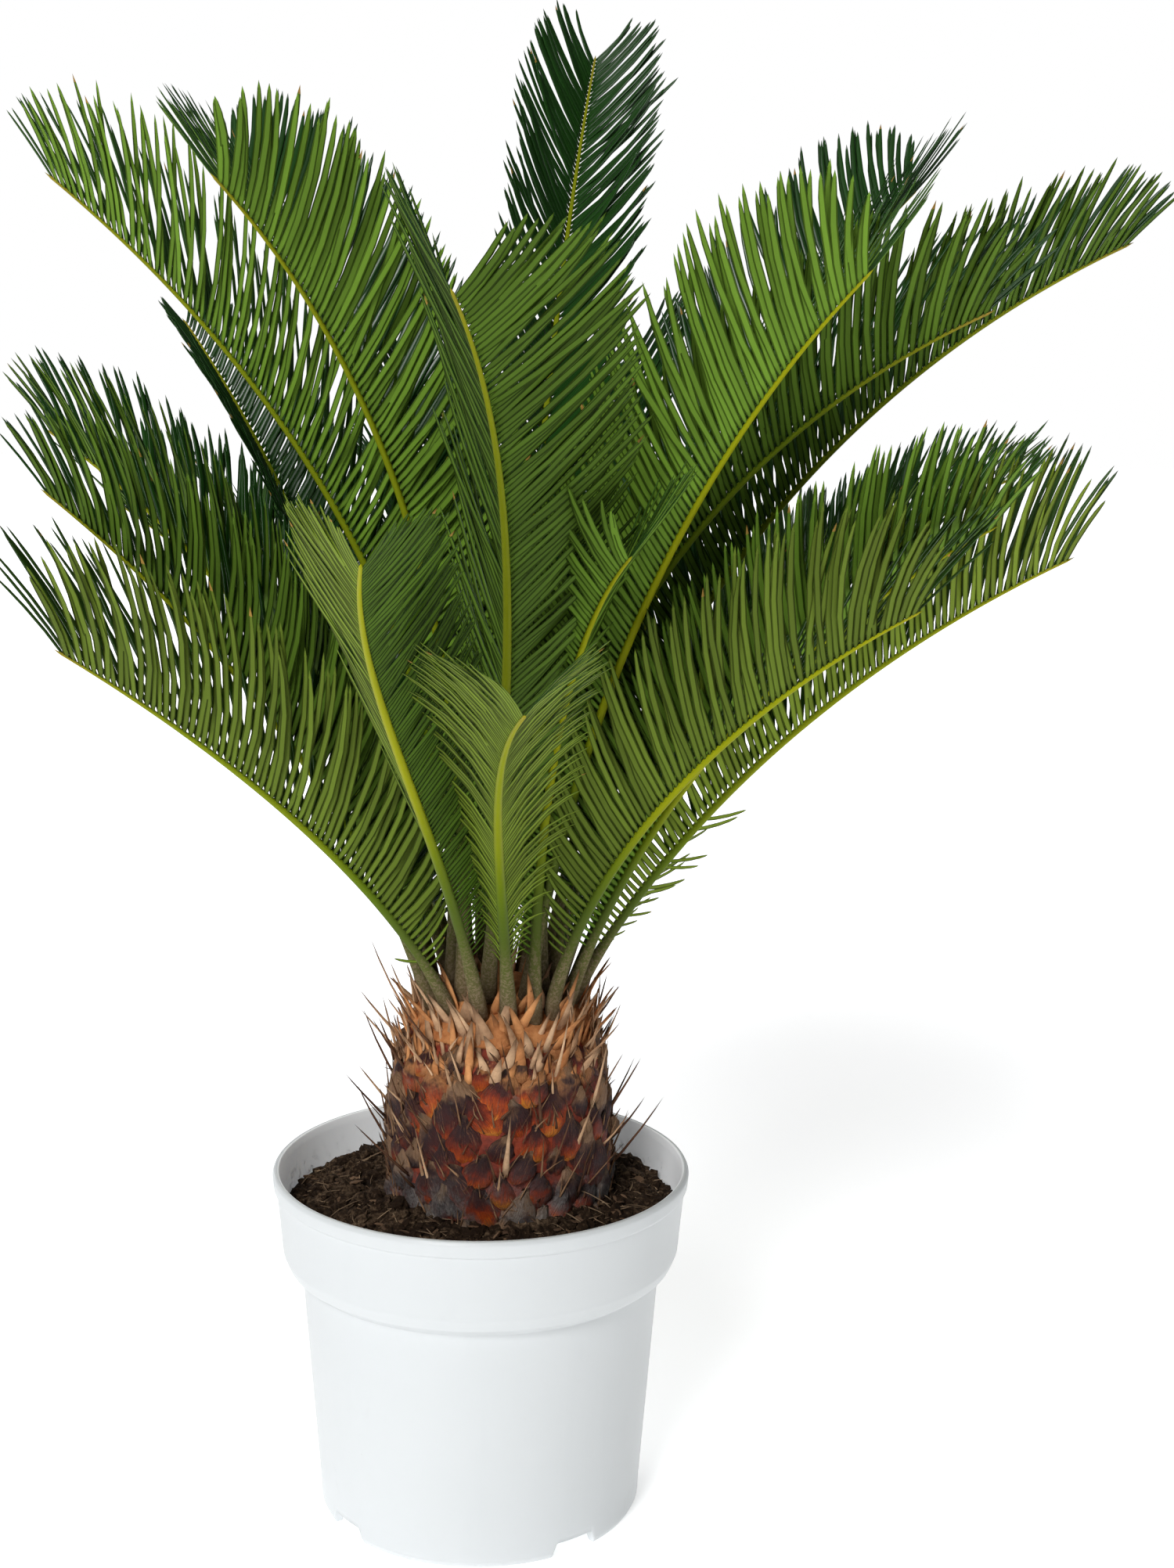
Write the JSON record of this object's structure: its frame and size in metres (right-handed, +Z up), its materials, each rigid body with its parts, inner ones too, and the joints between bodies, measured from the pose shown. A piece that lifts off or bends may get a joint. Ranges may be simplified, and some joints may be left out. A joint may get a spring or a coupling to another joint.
{
  "type": "sago palm",
  "caption": "Young sago palm with a scaly trunk and a full crown of arching feather-shaped fronds, standing in a round white nursery pot",
  "frame": {"origin": "on the ground, below the centre of the whole plant's bounding box", "axes": "+Z up, -Y the viewed front, +X to the viewer's right"},
  "size_m": [0.5302, 0.6996, 0.7824],
  "materials": {
    "pot": "satin white, with a matt grain",
    "soil": "dark crumbly peat",
    "bark": "rough, dark scaly leaf bases",
    "felt": "dry tan felt and papery scales",
    "leaf": "glossy green above, matt below"
  },
  "bodies": {
    "root": {"crown": "felt", "frond_back_inner_left": "leaf", "frond_back_inner_right": "leaf", "frond_back_low_centre": "leaf", "frond_back_low_left": "leaf", "frond_back_low_middle": "leaf", "frond_back_low_right": "leaf", "frond_centre_near": "leaf", "frond_front_left": "leaf", "frond_front_middle": "leaf", "frond_front_right": "leaf", "frond_left_back_dark": "leaf", "frond_left_inner": "leaf", "frond_low_left_back": "leaf", "frond_low_left_far": "leaf", "frond_low_left_near": "leaf", "frond_low_right_back": "leaf", "frond_low_right_far": "leaf", "frond_low_right_mid": "leaf", "frond_low_right_near": "leaf", "frond_right_inner": "leaf", "frond_top_back": "leaf", "frond_top_left_back": "leaf", "frond_top_left_far": "leaf", "frond_top_left_near": "leaf", "frond_top_right_back": "leaf", "frond_top_right_far": "leaf", "frond_top_right_near": "leaf", "pot": "pot", "soil": "soil", "trunk": "bark"}
  },
  "joints": []
}
